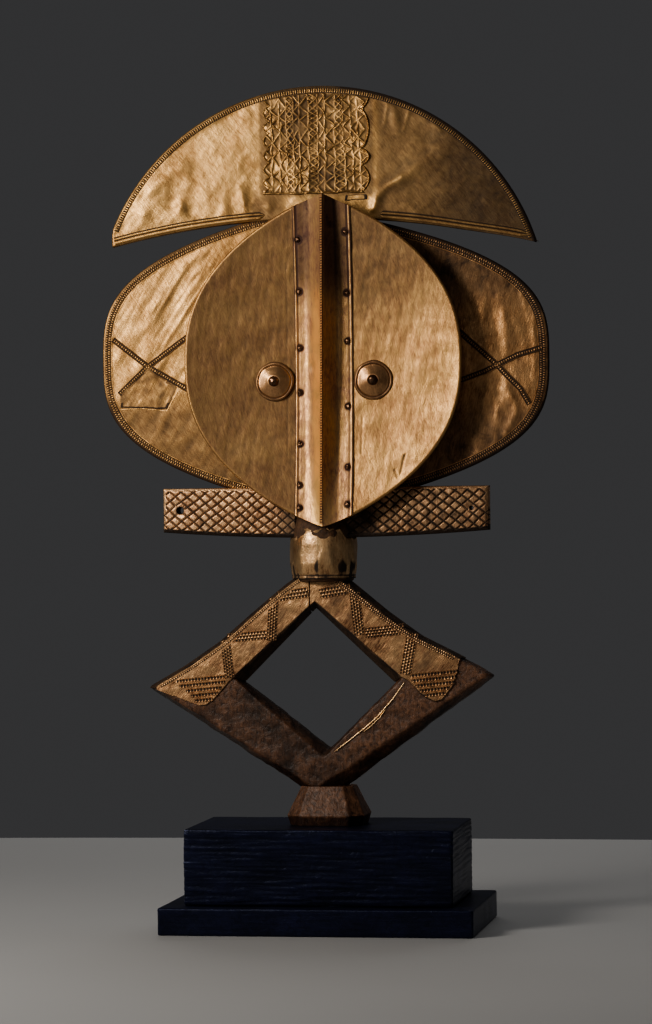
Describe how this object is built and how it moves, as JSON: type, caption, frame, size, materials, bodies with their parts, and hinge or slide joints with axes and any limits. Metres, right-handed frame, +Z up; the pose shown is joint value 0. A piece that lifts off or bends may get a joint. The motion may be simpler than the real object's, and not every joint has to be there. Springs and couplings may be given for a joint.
{
  "type": "reliquary figure",
  "caption": "Standing kota reliquary figure of carved wood faced with beaten brass: crescent crown, side lobes, dished oval face, bar, barrel neck and open lozenge, on a plinth.",
  "frame": {"origin": "centre of the stand's underside, on the surface it rests on", "axes": "+Z up, the face looks towards -Y, +X to the viewer's right"},
  "size_m": [0.367, 0.161, 0.6832],
  "materials": {
    "carved_wood": "old dark wood with worn, rubbed edges",
    "beaten_brass": "hammered sheet with dull patina and fine scratches",
    "copper_strip": "reddish sheet, burnished along its ridge",
    "iron_nail": "dark, rusted",
    "stained_wood": "black stain with a soft sheen and fine ripple"
  },
  "bodies": {
    "root": {"wooden_figure": "carved_wood", "crescent_sheet": "beaten_brass", "crown_repair_strip": "beaten_brass", "left_lobe_sheet": "beaten_brass", "left_lobe_patch": "beaten_brass", "right_lobe_sheet": "beaten_brass", "left_face_sheet": "beaten_brass", "right_face_sheet": "beaten_brass", "nose_strip": "copper_strip", "left_bar_sheet": "beaten_brass", "right_bar_sheet": "beaten_brass", "neck_sheet": "beaten_brass", "left_arm_sheet": "beaten_brass", "right_arm_sheet": "beaten_brass", "left_eye": "beaten_brass", "left_eye_nail": "iron_nail", "left_strip_nail_1": "iron_nail", "left_strip_nail_2": "iron_nail", "left_strip_nail_3": "iron_nail", "left_strip_nail_4": "iron_nail", "left_strip_nail_5": "iron_nail", "left_strip_nail_6": "iron_nail", "left_strip_nail_7": "iron_nail", "right_eye": "beaten_brass", "right_eye_nail": "iron_nail", "right_strip_nail_1": "iron_nail", "right_strip_nail_2": "iron_nail", "right_strip_nail_3": "iron_nail", "right_strip_nail_4": "iron_nail", "right_strip_nail_5": "iron_nail", "right_strip_nail_6": "iron_nail", "stand_plate": "stained_wood", "stand_block": "stained_wood"}
  },
  "joints": []
}
